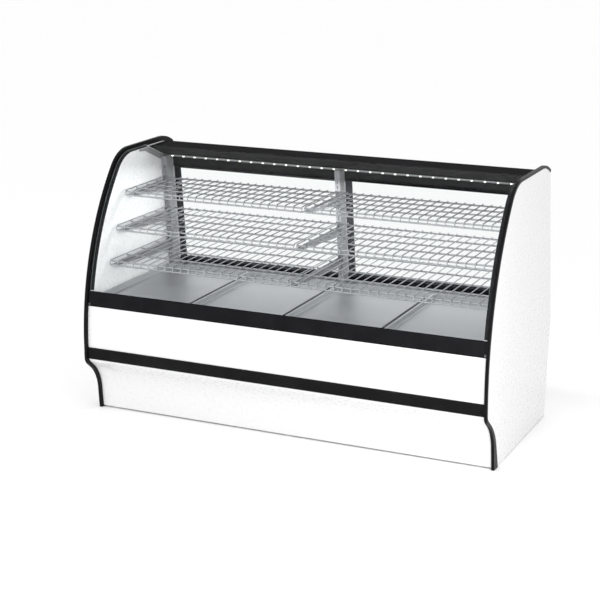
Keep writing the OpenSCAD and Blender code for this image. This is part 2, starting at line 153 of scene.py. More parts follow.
class CaseTrim(bpy.types.PropertyGroup):
    """Sizes of the trim, the wires and the small parts."""

    moulding_width: length("Moulding width", "Width of a moulding's face", 0.014)
    moulding_wall: length("Moulding wall", "Thickness of a moulding's wall", 0.0022)
    flange_depth: length("Flange depth", "Width of the flange over the end panel", 0.013)
    reveal_depth: length("Reveal depth", "Depth of the moulding's inner wall", 0.024)
    toe_flare: length("Toe flare", "How much the flange widens at the floor", 0.037)
    flare_height: length("Flare height", "Height at which the flange starts to widen", 0.230)
    groove: length("Groove", "Depth of the fine groove along a moulding", 0.0012)
    groove_width: length("Groove width", "Width of that groove", 0.0016)
    edge_round: length("Edge rounding", "Rounding of the edges of a folded sheet", 0.0007)
    wire: length("Wire", "Diameter of a shelf wire", 0.0050)
    wire_pitch: length("Wire pitch", "Pitch of the shelf wires", 0.042)
    wire_bend: length("Wire bend", "Inner radius where a shelf wire turns down", 0.004)
    shelf_rod: length("Shelf rod", "Diameter of the rods along a shelf", 0.0080)
    tray_corner: length("Tray corner", "Radius of a tray's corners", 0.022)
    tray_gauge: length("Tray gauge", "Sheet thickness of a tray", 0.0012)
    tray_lip: length("Tray lip", "How far a tray's rim turns down outside", 0.0048)
    lamp_count: bpy.props.IntProperty(name="Lamps", description="Lamps along the light", default=30)
    rib_pitch: length("Rib pitch", "Pitch of the grooves along the bumper", 0.0088)
    rib_groove: length("Rib groove", "Width of a groove along the bumper", 0.0024)
    rib_slope: length("Rib slope", "Slope of the sides of such a groove", 0.0005)
    rib_depth: length("Rib depth", "Depth of such a groove", 0.0011)
    glass_set_back: length("Glass set-back", "Depth of the glass behind the mouldings' edge", 0.0150)
    glass_thickness: length("Glass thickness", "Thickness of the front glass", 0.0060)
    gasket_gap: length("Gasket gap", "Gap between the glass and its gasket", 0.0004)
    gasket_width: length("Gasket width", "Width of a gasket", 0.0185)
    gasket_groove: length("Gasket groove", "Depth of the grooves along a gasket", 0.0008)
    lens_skirt: length("Lens skirt", "Height of the straight part of a lamp's lens", 0.003)
    lens_dome: length("Lens dome", "Height of the domed part of a lamp's lens", 0.003)


class CaseColours(bpy.types.PropertyGroup):
    """Base colours of the finishes."""

    white: colour("White", "White coated panels", (0.71, 0.71, 0.715))
    # The liners' white is set lighter than the panels' white: partly the liners' own white, partly painted
    # light that stands in for the lamps' light inside the case.
    liner: colour("Liner", "White inner liners", (0.93, 0.935, 0.94))
    black: colour("Black", "Black mouldings", (0.0065, 0.0065, 0.0070))
    canopy: colour("Canopy", "Black coated metal", (0.009, 0.009, 0.010))
    plastic: colour("Plastic", "Black plastic fittings", (0.022, 0.022, 0.024))
    rubber: colour("Rubber", "Dark gaskets", (0.016, 0.0165, 0.018))
    grey: colour("Grey", "Grey painted uprights and brackets", (0.27, 0.275, 0.285))
    steel: colour("Steel", "Bare and plated steel", (0.55, 0.56, 0.58))
    aluminium: colour("Aluminium", "Trays and the light's channel", (0.60, 0.61, 0.63))
    anodised: colour("Anodised", "Dark anodised frames of the doors", (0.045, 0.046, 0.050))
    chrome: colour("Chrome", "Bright plated wire", (0.56, 0.57, 0.59))
    nylon: colour("Nylon", "Door glides", (0.80, 0.80, 0.76))
    glass: colour("Glass", "Tint of the glass", (0.985, 0.992, 0.990))
    glass_edge: colour("Glass edge", "Polished edge of the glass", (0.12, 0.145, 0.14))
    lamp: colour("Lamp", "Light of the lamps", (1.0, 0.97, 0.90))
    board: colour("Board", "Solder resist of the lamps' board", (0.84, 0.84, 0.82))
    copper: colour("Copper", "Copper tracks under the resist", (0.70, 0.66, 0.52))
    scuff: colour("Scuff", "Scuffs near the floor", (0.60, 0.59, 0.57))
    floor: colour("Floor", "Studio floor", (0.97, 0.97, 0.97))


class CaseStage(bpy.types.PropertyGroup):
    """The camera, the floor and the lights."""

    camera_place: bpy.props.FloatVectorProperty(
        name="Camera", description="Place of the camera", default=(2.896, -6.331, 2.519), unit="LENGTH"
    )
    heading: turn("Heading", "Turn of the view to the left of straight ahead", 24.99)
    dip: turn("Dip", "How far the view points down", 12.39)
    roll: turn("Roll", "Turn of the camera about its view", 0.25)
    lens: bpy.props.FloatProperty(
        name="Lens", description="Focal length", default=93.84, unit="CAMERA"
    )
    shift_x: bpy.props.FloatProperty(name="Shift X", description="Sideways shift", default=-0.010)
    shift_y: bpy.props.FloatProperty(name="Shift Y", description="Upward shift", default=-0.155)
    floor_size: length("Floor size", "Half width of the floor", 60.0)
    sky: bpy.props.FloatProperty(name="Sky", description="Strength of the white sky", default=1.02)
    key: bpy.props.FloatProperty(name="Key", description="Key light", default=58.0, unit="POWER")
    fill: bpy.props.FloatProperty(name="Fill", description="Fill light", default=11.0, unit="POWER")
    inner: bpy.props.FloatProperty(
        name="Inner", description="Light that the lamps throw into the case", default=13.0, unit="POWER"
    )
    lamp: bpy.props.FloatProperty(name="Lamps", description="Glow of the lamps", default=2.4)


# ---- shader building ----


class Amount:
    """A number that varies over a surface, for use in arithmetic."""

    def __init__(self, paint, socket):
        self.paint = paint
        self.socket = socket

    def _with(self, operation, first, second, clamp=False):
        node = self.paint.node(
            "ShaderNodeMath", {"operation": operation, "use_clamp": clamp}, {0: first, 1: second}
        )
        return Amount(self.paint, node.outputs[0])

    def __add__(self, other):
        return self._with("ADD", self, other)

    def __mul__(self, other):
        return self._with("MULTIPLY", self, other)

    __radd__ = __add__
    __rmul__ = __mul__

    def clamped(self):
        """The number held between 0 and 1."""
        return self._with("MULTIPLY", self, 1.0, clamp=True)


class Paint:
    """One material's node tree."""

    def __init__(self, name):
        self.material = bpy.data.materials.new(name)
        self.material.use_nodes = True
        self.tree = self.material.node_tree
        self.tree.nodes.clear()
        self.out = self.node("ShaderNodeOutputMaterial")
        self.place = self.node("ShaderNodeTexCoord").outputs["Object"]

    def node(self, kind, settings=None, inputs=None):
        """A node with its settings made first and its sockets filled or linked after."""
        node = self.tree.nodes.new(kind)
        for name, value in (settings or {}).items():
            if name == "stops":
                self._stops(node.color_ramp, value)
            else:
                setattr(node, name, value)
        for key, value in (inputs or {}).items():
            if isinstance(value, Amount):
                value = value.socket
            if isinstance(value, bpy.types.NodeSocket):
                self.tree.links.new(value, node.inputs[key])
            else:
                node.inputs[key].default_value = value
        return node

    def _stops(self, ramp, stops):
        while len(ramp.elements) < len(stops):
            ramp.elements.new(0.5)
        for element, (position, shade) in zip(ramp.elements, stops):
            element.position = position
            element.color = (shade, shade, shade, 1.0)

    def stretched(self, scale, turned=(0.0, 0.0, 0.0)):
        """Object coordinates with a different scale along each axis."""
        mapping = self.node(
            "ShaderNodeMapping", {}, {"Vector": self.place, "Scale": scale, "Rotation": turned}
        )
        return mapping.outputs["Vector"]

    def noise(self, scale, detail=3.0, roughness=0.5, place=None):
        """Soft noise from 0 to 1."""
        node = self.node(
            "ShaderNodeTexNoise",
            {"noise_dimensions": "3D"},
            {"Vector": place or self.place, "Scale": scale, "Detail": detail, "Roughness": roughness},
        )
        return Amount(self, node.outputs["Fac"])

    def cells(self, scale, place=None):
        """Distance to the nearest of many scattered points."""
        node = self.node("ShaderNodeTexVoronoi", {}, {"Vector": place or self.place, "Scale": scale})
        return Amount(self, node.outputs["Distance"])

    def height(self):
        """Height above the floor, in metres."""
        split = self.node("ShaderNodeSeparateXYZ", {}, {"Vector": self.place})
        return Amount(self, split.outputs["Z"])

    def ramp(self, amount, stops):
        """An amount passed through a ramp of (position, value) stops."""
        node = self.node("ShaderNodeValToRGB", {"stops": stops}, {"Fac": amount})
        return Amount(self, node.outputs["Color"])

    def mixed(self, amount, first, second):
        """A colour between two colours."""
        node = self.node(
            "ShaderNodeMix", {"data_type": "RGBA"}, {"Factor": amount, 6: first, 7: second}
        )
        return node.outputs[2]

    def bumped(self, amount, depth, under=None):
        """A normal with relief of a depth in metres."""
        inputs = {"Height": amount, "Distance": depth, "Strength": 1.0}
        if under is not None:
            inputs["Normal"] = under
        return self.node("ShaderNodeBump", {}, inputs).outputs["Normal"]

    def surface(self, **inputs):
        """The main shader, with its inputs by name, joined to the output."""
        named = {name.replace("_", " "): value for name, value in inputs.items()}
        shader = self.node("ShaderNodeBsdfPrincipled", {}, named)
        self.tree.links.new(shader.outputs[0], self.out.inputs["Surface"])
        return self.material


def dimmed(rgb, shade):
    """A colour made lighter or darker."""
    return tuple(min(1.0, channel * shade) for channel in rgb)


def full(rgb, shade=1.0):
    """The same with its alpha, for a colour socket."""
    return (*dimmed(rgb, shade), 1.0)


def coated_white(name, rgb, scuff_rgb, scuffs):
    """White powder coat: faint orange peel, a little uneven in tone, scuffed near the floor."""
    paint = Paint(name)
    tone = paint.noise(1.7, 4.0, 0.55)
    peel = paint.noise(420.0, 2.0, 0.4)
    fine = paint.noise(60.0, 5.0, 0.6)
    low = paint.ramp(paint.height(), [(0.0, 1.0), (0.12, 0.0)])
    rubbed = paint.noise(9.0, 6.0, 0.7, paint.stretched((0.4, 0.4, 3.0)))
    marks = paint.ramp(rubbed, [(0.56, 0.0), (0.72, 1.0)])
    worn = (low * marks * scuffs).clamped()
    base = paint.mixed(tone, full(rgb, 0.985), full(rgb, 1.015))
    return paint.surface(
        Base_Color=paint.mixed(worn, base, full(scuff_rgb)),
        Roughness=(0.23 + fine * 0.10 + worn * 0.25),
        Normal=paint.bumped(peel, 0.000006),
        Coat_Weight=0.30,
        Coat_Roughness=0.08,
    )


def moulded_black(name, rgb, shine):
    """Extruded black trim: satin, with faint lengthwise drawing and dust in the grain."""
    paint = Paint(name)
    grain = paint.noise(900.0, 2.0, 0.5)
    drawn = paint.noise(70.0, 3.0, 0.5, paint.stretched((6.0, 0.6, 0.6)))
    dust = paint.ramp(paint.noise(5.0, 6.0, 0.65), [(0.45, 0.0), (0.80, 1.0)])
    return paint.surface(
        Base_Color=paint.mixed(dust, full(rgb), full(rgb, 1.9)),
        Roughness=(shine + drawn * 0.10 + dust * 0.06),
        Normal=paint.bumped(grain, 0.00003, paint.bumped(drawn, 0.00004)),
        Specular_IOR_Level=0.06,
    )


def coated_black(name, rgb):
    """Black gloss coat on sheet metal, with a soft wave from the folding."""
    paint = Paint(name)
    wave = paint.noise(3.0, 2.0, 0.4, paint.stretched((0.3, 1.0, 1.0)))
    peel = paint.noise(380.0, 2.0, 0.45)
    smears = paint.ramp(paint.noise(7.0, 5.0, 0.6), [(0.40, 0.0), (0.75, 1.0)])
    return paint.surface(
        Base_Color=paint.mixed(smears, full(rgb), full(rgb, 1.5)),
        Roughness=(0.30 + smears * 0.10),
        Normal=paint.bumped(peel, 0.00002, paint.bumped(wave, 0.0003)),
        Specular_IOR_Level=0.0,
        Coat_Weight=0.03,
        Coat_Roughness=0.12,
    )


def gasket_rubber(name, rgb):
    """Dull dark rubber with fine pores."""
    paint = Paint(name)
    pores = paint.cells(900.0)
    bloom = paint.noise(22.0, 5.0, 0.6)
    return paint.surface(
        Base_Color=paint.mixed(bloom, full(rgb, 0.8), full(rgb, 1.4)),
        Roughness=(0.62 + bloom * 0.18),
        Specular_IOR_Level=0.15,
        Normal=paint.bumped(pores, 0.00010),
    )


def fitting_plastic(name, rgb):
    """Matt moulded plastic with a fine spark-eroded texture."""
    paint = Paint(name)
    texture = paint.cells(1400.0)
    patches = paint.noise(14.0, 5.0, 0.6)
    return paint.surface(
        Base_Color=paint.mixed(patches, full(rgb, 0.85), full(rgb, 1.3)),
        Roughness=(0.48 + patches * 0.14),
        Normal=paint.bumped(texture, 0.00008),
    )


def satin_paint(name, rgb):
    """Grey satin coat with a fine metallic fleck."""
    paint = Paint(name)
    fleck = paint.ramp(paint.cells(1600.0), [(0.05, 1.0), (0.16, 0.0)])
    tone = paint.noise(4.0, 4.0, 0.5)
    base = paint.mixed(tone, full(rgb, 0.95), full(rgb, 1.06))
    return paint.surface(
        Base_Color=paint.mixed(fleck * 0.35, base, full(rgb, 1.7)),
        Roughness=(0.40 + tone * 0.12),
        Specular_IOR_Level=0.3,
        Normal=paint.bumped(paint.noise(500.0, 2.0, 0.5), 0.00005),
    )


def brushed_metal(name, rgb, along, rough):
    """Brushed or drawn metal; along gives the scale on each axis, smallest along the strokes."""
    paint = Paint(name)
    strokes = paint.noise(60.0, 4.0, 0.65, paint.stretched(along))
    smudge = paint.noise(6.0, 5.0, 0.6)
    return paint.surface(
        Base_Color=paint.mixed(smudge * 0.5 + strokes * 0.5, full(rgb, 0.80), full(rgb, 1.12)),
        Metallic=0.92,
        Roughness=(rough + strokes * 0.14 + smudge * 0.08),
        Normal=paint.bumped(strokes, 0.00008),
    )


def bright_wire(name, rgb):
    """Chrome plated wire with faint draw lines and a little dulling."""
    paint = Paint(name)
    dull = paint.noise(25.0, 5.0, 0.6)
    fine = paint.noise(1200.0, 2.0, 0.5)
    return paint.surface(
        Base_Color=paint.mixed(dull, full(rgb, 0.82), full(rgb, 1.08)),
        Metallic=1.0,
        Roughness=(0.22 + dull * 0.16),
        Normal=paint.bumped(fine, 0.00002),
    )


def soft_nylon(name, rgb):
    """Milky nylon, slightly uneven and rubbed smooth."""
    paint = Paint(name)
    cloud = paint.noise(35.0, 4.0, 0.55)
    return paint.surface(
        Base_Color=paint.mixed(cloud, full(rgb, 0.92), full(rgb, 1.05)),
        Roughness=(0.38 + cloud * 0.15),
        Normal=paint.bumped(paint.noise(700.0, 2.0, 0.5), 0.00004),
        Subsurface_Weight=0.08,
        Subsurface_Radius=(0.004, 0.004, 0.003),
    )


def clear_glass(name, rgb):
    """Clean sheet glass: see-through, with a mirror reflection that grows at a glancing angle."""
    paint = Paint(name)
    wave = paint.bumped(paint.noise(1.6, 1.0, 0.3), 0.0004)
    wiped = paint.noise(5.0, 5.0, 0.6)
    through = paint.node("ShaderNodeBsdfTransparent", {}, {"Color": full(rgb)})
    mirror = paint.node(
        "ShaderNodeBsdfGlossy", {}, {"Color": full((1.0, 1.0, 1.0)), "Roughness": 0.015, "Normal": wave}
    )
    glance = Amount(paint, paint.node("ShaderNodeFresnel", {}, {"IOR": 1.3}).outputs["Fac"])
    share = (glance * 0.02 + paint.ramp(wiped, [(0.50, 0.0), (0.90, 0.006)])).clamped()
    both = paint.node(
        "ShaderNodeMixShader", {}, {0: share, 1: through.outputs[0], 2: mirror.outputs[0]}
    )
    paint.tree.links.new(both.outputs[0], paint.out.inputs["Surface"])
    return paint.material


def polished_edge(name, rgb):
    """The ground and polished edge of a glass sheet."""
    paint = Paint(name)
    depth = paint.noise(30.0, 3.0, 0.5)
    return paint.surface(
        Base_Color=paint.mixed(depth, full(rgb, 0.75), full(rgb, 1.25)),
        Roughness=(0.10 + depth * 0.08),
        Normal=paint.bumped(paint.noise(900.0, 2.0, 0.5), 0.00002),
        Coat_Weight=0.5,
    )


def lit_lens(name, rgb, strength):
    """A lamp's lens, glowing evenly with a faint ripple."""
    paint = Paint(name)
    ripple = paint.noise(300.0, 2.0, 0.5)
    return paint.surface(
        Base_Color=paint.mixed(ripple, full(rgb, 0.9), full(rgb)),
        Roughness=(0.15 + ripple * 0.1),
        Emission_Color=paint.mixed(ripple, full(rgb, 0.92), full(rgb)),
        Emission_Strength=strength,
        Normal=paint.bumped(ripple, 0.00010),
    )


def circuit_board(name, resist, copper):
    """White solder resist with pale copper showing through in tracks."""
    paint = Paint(name)
    lines = paint.noise(8.0, 1.0, 0.3, paint.stretched((1.0, 60.0, 60.0)))
    tracks = paint.ramp(lines, [(0.48, 0.0), (0.52, 1.0)])
    return paint.surface(
        Base_Color=paint.mixed(tracks * 0.4, full(resist), full(copper)),
        Roughness=(0.42 + tracks * 0.08),
        Normal=paint.bumped(tracks, 0.00004),
    )


def studio_floor(name, rgb):
    """A pale painted floor, almost even."""
    paint = Paint(name)
    tone = paint.noise(0.6, 4.0, 0.5)
    return paint.surface(
        Base_Color=paint.mixed(tone, full(rgb, 0.995), full(rgb, 1.005)),
        Roughness=(0.72 + tone * 0.10),
        Normal=paint.bumped(paint.noise(90.0, 3.0, 0.5), 0.00010),
        Specular_IOR_Level=0.1,
    )


# The finish for each material slot, from the colours (c) and the stage's settings (s).
MAKERS = {
    "white_panel": lambda c, s: coated_white("powder_white", c.white, c.scuff, 0.5),
    # The liners' lighter white is partly painted light from the lamps inside the case.
    "white_liner": lambda c, s: coated_white("liner_white_and_painted_light", c.liner, c.scuff, 0.0),
    "black_moulding": lambda c, s: moulded_black("trim_black", c.black, 0.24),
    "black_metal": lambda c, s: coated_black("canopy_black", c.canopy),
    "gasket": lambda c, s: gasket_rubber("gasket_rubber", c.rubber),
    "black_plastic": lambda c, s: fitting_plastic("fitting_plastic", c.plastic),
    "grey_paint": lambda c, s: satin_paint("upright_grey", c.grey),
    "steel_frame": lambda c, s: satin_paint("frame_paint", dimmed(c.steel, 0.9)),
    "zinc_block": lambda c, s: brushed_metal("plated_zinc", dimmed(c.steel, 0.3), (3.0, 3.0, 1.0), 0.32),
    "deck_steel": lambda c, s: brushed_metal("deck_steel", c.steel, (0.15, 3.0, 3.0), 0.28),
    "tray_aluminium": lambda c, s: brushed_metal("tray_aluminium", c.aluminium, (3.0, 0.3, 3.0), 0.34),
    "led_aluminium": lambda c, s: brushed_metal(
        "channel_aluminium", dimmed(c.aluminium, 0.45), (0.1, 3.0, 3.0), 0.40
    ),
    "door_aluminium": lambda c, s: moulded_black("door_anodised", c.anodised, 0.34),
    "shelf_wire": lambda c, s: bright_wire("chrome_wire", c.chrome),
    "nylon": lambda c, s: soft_nylon("glide_nylon", c.nylon),
    "front_glass": lambda c, s: clear_glass("front_glass_clear", c.glass),
    "door_glass": lambda c, s: clear_glass("door_glass_clear", c.glass),
    "glass_edge": lambda c, s: polished_edge("glass_edge", c.glass_edge),
    "led_lamp": lambda c, s: lit_lens("lamp_lens", c.lamp, s.lamp),
    "led_board": lambda c, s: circuit_board("lamp_board", c.board, c.copper),
}
made_finishes = {}


def finish(slot_name):
    """The material for a slot, made the first time that it is asked for."""
    if slot_name not in made_finishes:
        scene = bpy.context.scene
        made_finishes[slot_name] = MAKERS[slot_name](scene.case_colours, scene.case_stage)
    return made_finishes[slot_name]


# ---- shapes ----


def facing(angle):
    """The unit vector at an angle in the YZ plane, from +Y towards +Z."""
    return Vector((0.0, math.cos(angle), math.sin(angle)))


def merged_copy(node):
    """A CAD node's mesh as one joined surface, with each flat area as one face."""
    bm = bmesh.new()
    bm.from_mesh(frame["nodes"][node].data)
    bmesh.ops.remove_doubles(bm, verts=bm.verts, dist=0.00001)
    bmesh.ops.dissolve_limit(
        bm, angle_limit=math.radians(0.3), verts=bm.verts, edges=bm.edges, use_dissolve_boundaries=False
    )
    return bm


def sharp_edges(bm, degrees):
    """The edges that turn by more than an angle."""
    limit = math.radians(degrees)
    return [edge for edge in bm.edges if edge.is_manifold and edge.calc_face_angle(0.0) > limit]


def rounded(bm, width, degrees=30.0, segments=2):
    """Rounds the sharp edges of a shape."""
    bmesh.ops.bevel(
        bm,
        geom=sharp_edges(bm, degrees),
        offset=width,
        offset_type="OFFSET",
        segments=segments,
        profile=0.5,
        affect="EDGES",
        clamp_overlap=True,
        material=-1,
    )
    return bm


def cut_away(bm, point, normal):
    """Cuts off what lies beyond a plane and closes the cut."""
    cut = bmesh.ops.bisect_plane(
        bm,
        geom=bm.verts[:] + bm.edges[:] + bm.faces[:],
        plane_co=point,
        plane_no=normal,
        clear_outer=True,
    )
    rim = [item for item in cut["geom_cut"] if isinstance(item, bmesh.types.BMEdge)]
    bmesh.ops.holes_fill(bm, edges=[edge for edge in rim if edge.is_boundary])
    return bm


def mirrored(bm):
    """Turns a right-hand shape into its left-hand twin."""
    bmesh.ops.scale(bm, verts=bm.verts, vec=(-1.0, 1.0, 1.0))
    bmesh.ops.reverse_faces(bm, faces=bm.faces)
    return bm


def rod(bm, start, end, diameter, sides=8, tip=None):
    """A round rod from one point to another, with closed ends."""
    start, end = Vector(start), Vector(end)
    along = end - start
    place = Matrix.Translation((start + end) / 2) @ along.to_track_quat("Z", "Y").to_matrix().to_4x4()
    return bmesh.ops.create_cone(
        bm,
        cap_ends=True,
        segments=sides,
        radius1=diameter / 2,
        radius2=(tip if tip is not None else diameter) / 2,
        depth=along.length,
        matrix=place,
    )["verts"]


def dome(bm, centre, diameter, height, rings=4, sides=16):
    """A flattened ball, for a lens or a rounded head."""
    place = Matrix.Translation(centre) @ Matrix.Diagonal((1.0, 1.0, 2 * height / diameter, 1.0))
    return bmesh.ops.create_uvsphere(
        bm, u_segments=sides, v_segments=rings * 2, radius=diameter / 2, matrix=place
    )["verts"]


class FrontLine:
    """The outer edge of the mouldings, from the toe at the floor to the back end of the top."""

    spare = 0.03  # how far the line starts below the floor, so that a cut can square it off

    def __init__(self, profile):
        p = profile
        down = facing(math.pi + p.brow_turn)
        self.inward = facing(p.toe_lean)
        brow = Vector((0.0, FRONT_Y + p.brow_radius, p.brow_height))
        slope = facing(p.brow_turn - math.pi / 2) * p.slope_length
        sweep = brow + down * (p.brow_radius + p.sweep_radius) + slope
        belly = Vector((0.0, FRONT_Y + p.belly_radius, p.belly_height))
        reach = p.belly_radius - p.crown_radius
        crown_turn = math.asin((TOP_Z - p.crown_radius - p.belly_height) / reach)
        crown = belly + facing(math.pi - crown_turn) * reach
        tail = Vector((0.0, p.tail_start, TOP_Z - p.tail_radius))
        toe_top = sweep + self.inward * p.sweep_radius
        toe_length = toe_top.z / math.cos(p.toe_lean) + self.spare
        self.start = toe_top - facing(p.toe_lean + math.pi / 2) * toe_length
        # a run has its length, and a turn its centre, its angle and its number of steps
        self.moves = [
            ("run", toe_length),
            ("turn", sweep, p.brow_turn - p.toe_lean, 14),
            ("run", p.slope_length),
            ("turn", brow, -p.brow_turn, 10),
            ("run", p.belly_height - p.brow_height),
            ("turn", belly, -crown_turn, 48),
            ("turn", crown, crown_turn - math.pi / 2, 18),
            ("run", p.tail_start - crown.y),
            ("turn", tail, -p.tail_turn, 10),
        ]

    def carry(self, section):
        """A closed section of (depth, x) corners carried along the line, as an open tube.
        Every vertex keeps its depth in a layer of that name."""
        bm = bmesh.new()
        depths = bm.verts.layers.float.new("depth")
        ring = []
        for depth, x in section:
            corner = bm.verts.new(self.start + self.inward * depth + Vector((x, 0.0, 0.0)))
            corner[depths] = depth
            ring.append(corner)
        edges = [bm.edges.new(pair) for pair in zip(ring, ring[1:] + ring[:1])]
        angle = math.atan2(self.inward.z, self.inward.y) + math.pi / 2
        for move in self.moves:
            if move[0] == "run":
                made = bmesh.ops.extrude_edge_only(bm, edges=edges)["geom"]
                corners = [item for item in made if isinstance(item, bmesh.types.BMVert)]
                bmesh.ops.translate(bm, verts=corners, vec=facing(angle) * move[1])
            else:
                _, centre, by, steps = move
                made = bmesh.ops.spin(
                    bm,
                    geom=ring + edges,
                    cent=centre,
                    axis=(1.0, 0.0, 0.0),
                    angle=by,
                    steps=steps,
                    use_merge=False,
                    use_duplicate=False,
                )["geom_last"]
                corners = [item for item in made if isinstance(item, bmesh.types.BMVert)]
                angle += by
            ends = set(corners)
            edges = [e for e in made if isinstance(e, bmesh.types.BMEdge) and ends.issuperset(e.verts)]
            ring = corners
        bmesh.ops.remove_doubles(bm, verts=bm.verts, dist=0.0000001)
        return bm


def add_piece(name, bm, nodes, edge_finish=None):
    """Puts a shape in the scene as a piece that stands for some CAD nodes and rides where they do."""
    slot_name = SLOTS[nodes[0]]
    for face in bm.faces:
        face.smooth = True
    for edge in bm.edges:
        edge.smooth = edge.is_manifold and edge.calc_face_angle(0.0) < math.radians(50.0)
    mesh = bpy.data.meshes.new(name)
    bm.to_mesh(mesh)
    bm.free()
    mesh.materials.append(finish(slot_name))
    if edge_finish:
        mesh.materials.append(finish(edge_finish))
    piece = bpy.data.objects.new(name, mesh)
    bpy.context.scene.collection.objects.link(piece)
    normals = piece.modifiers.new("Even normals", "WEIGHTED_NORMAL")
    normals.keep_sharp = True
    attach(piece, body_of(frame["nodes"][nodes[0]])[0])
    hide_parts(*nodes)
    return piece


def finish_nodes(nodes, width, degrees=30.0, segments=2):
    """Makes each CAD node again with rounded edges and its own finish."""
    for node in nodes:
        add_piece(node + "_finished", rounded(merged_copy(node), width, degrees, segments), [node])


# ---- the pieces ----


class CASE_OT_front_skins(bpy.types.Operator):
    """Make the white kick panel, the grooved black bumper and the white front panel"""

    bl_idname = "case.front_skins"
    bl_label = "Front skins"

    def bumper(self, trim):
        """The bumper, with fine grooves along its face."""
        bm = merged_copy("bumper_strip")
        low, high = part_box("bumper_strip")
        level = low.z + trim.rib_pitch
        while level < high.z - trim.rib_pitch:
            top = level + trim.rib_groove
            for cut in (level, top):
                bmesh.ops.bisect_plane(
                    bm,
                    geom=bm.verts[:] + bm.edges[:] + bm.faces[:],
                    plane_co=(0.0, 0.0, cut),
                    plane_no=(0.0, 0.0, 1.0),
                )
            front = [face for face in bm.faces if face.normal.y < -0.8]
            groove = [face for face in front if level < face.calc_center_median().z < top]
            bmesh.ops.inset_region(
                bm, faces=groove, thickness=trim.rib_slope, depth=-trim.rib_depth, use_even_offset=True
            )
            level += trim.rib_pitch
        return rounded(bm, 0.0003, 40.0, 1)

    def execute(self, context):
        trim = context.scene.case_trim
        finish_nodes(["kick_panel", "front_panel"], width=trim.edge_round, degrees=60.0)
        add_piece("bumper_grooved", self.bumper(trim), ["bumper_strip"])
        return {"FINISHED"}


class CASE_OT_ends(bpy.types.Operator):
    """Make the end panels, liners, edge mouldings, gaskets and gussets"""

    bl_idname = "case.ends"
    bl_label = "Ends"

    def moulding(self, line, trim):
        """The right-hand moulding: a rim with a fine groove, an outer flange and an inner wall."""
        out = HALF_LENGTH
        inside = out - trim.moulding_width
        wall = trim.moulding_wall
        middle = (out + inside) / 2
        half_groove = trim.groove_width / 2
        section = [
            (0.0, out),
            (0.0, middle + half_groove),
            (trim.groove, middle + half_groove),
            (trim.groove, middle - half_groove),
            (0.0, middle - half_groove),
            (0.0, inside),
            (trim.reveal_depth, inside),
            (trim.reveal_depth, inside + wall),
            (wall, inside + wall),
            (wall, out - wall),
            (trim.flange_depth, out - wall),
            (trim.flange_depth, out),
        ]
        bm = line.carry(section)
        depths = bm.verts.layers.float["depth"]
        for corner in bm.verts:
            if abs(corner[depths] - trim.flange_depth) < 0.0001:
                corner.co.y += trim.toe_flare * max(0.0, 1.0 - corner.co.z / trim.flare_height)
        cut_away(bm, (0.0, 0.0, 0.0005), (0.0, 0.0, -1.0))
        bmesh.ops.holes_fill(bm, edges=[edge for edge in bm.edges if edge.is_boundary])
        bmesh.ops.recalc_face_normals(bm, faces=bm.faces)
        return rounded(bm, 0.0006, 45.0)

    def gasket(self, line, trim):
        """The right-hand gasket: a ribbed rubber strip behind the glass."""
        low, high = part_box("glass_gaskets")
        outer, inner = high.x, high.x - trim.gasket_width
        front = trim.glass_set_back + trim.glass_thickness + trim.gasket_gap
        back = trim.reveal_depth
        grooved = back - trim.gasket_groove
        section = [(front, outer), (front, inner), (back, inner)]
        ribs = 4
        step = (outer - inner) / ribs
        for rib in range(ribs):
            at = inner + rib * step
            section += [(back, at + 0.6 * step), (grooved, at + 0.7 * step)]
            section += [(grooved, at + 0.9 * step), (back, at + step)]
        bm = line.carry(section)
        cut_away(bm, (0.0, 0.0, low.z), (0.0, 0.0, -1.0))
        cut_away(bm, (0.0, high.y, 0.0), (0.0, 1.0, 0.0))
        bmesh.ops.recalc_face_normals(bm, faces=bm.faces)
        return bm

    def execute(self, context):
        trim = context.scene.case_trim
        line = FrontLine(context.scene.case_profile)
        for side, sign in SIDES.items():
            finish_nodes([f"end_panel_{side}", f"end_liner_{side}"], width=0.0010, degrees=60.0)
            finish_nodes([f"gusset_{side}"], width=0.0008)
            moulding = self.moulding(line, trim)
            if sign < 0:
                mirrored(moulding)
            add_piece(f"end_moulding_{side}_drawn", moulding, [f"end_moulding_{side}"])
        both = self.gasket(line, trim)
        twin = bmesh.ops.duplicate(both, geom=both.verts[:] + both.edges[:] + both.faces[:])["geom"]
        corners = [item for item in twin if isinstance(item, bmesh.types.BMVert)]
        bmesh.ops.scale(both, verts=corners, vec=(-1.0, 1.0, 1.0))
        faces = [item for item in twin if isinstance(item, bmesh.types.BMFace)]
        bmesh.ops.reverse_faces(both, faces=faces)
        add_piece("glass_gaskets_ribbed", both, ["glass_gaskets"])
        return {"FINISHED"}


class CASE_OT_front_glass(bpy.types.Operator):
    """Make the curved front glass, the rail that carries it and its hinge blocks"""

    bl_idname = "case.front_glass"
    bl_label = "Front glass"

    def execute(self, context):
        trim = context.scene.case_trim
        line = FrontLine(context.scene.case_profile)
        low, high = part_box("front_glass")
        front = trim.glass_set_back
        back = front + trim.glass_thickness
        bm = line.carry([(front, low.x), (back, low.x), (back, high.x), (front, high.x)])
        cut_away(bm, (0.0, 0.0, low.z), (0.0, 0.0, -1.0))
        cut_away(bm, (0.0, high.y, 0.0), (0.0, 1.0, 0.0))
        bmesh.ops.recalc_face_normals(bm, faces=bm.faces)
        rounded(bm, 0.0006, 60.0, 1)
        narrow = 0.0008  # in square metres; a larger face that isn't an end is clear
        for face in bm.faces:
            face.material_index = 1 if face.calc_area() < narrow or abs(face.normal.x) > 0.4 else 0
        add_piece("front_glass_bent", bm, ["front_glass"], "glass_edge")
        finish_nodes(["glass_rail"], width=0.0009, degrees=50.0)
        finish_nodes(["hinge_blocks"], width=0.0006)
        return {"FINISHED"}


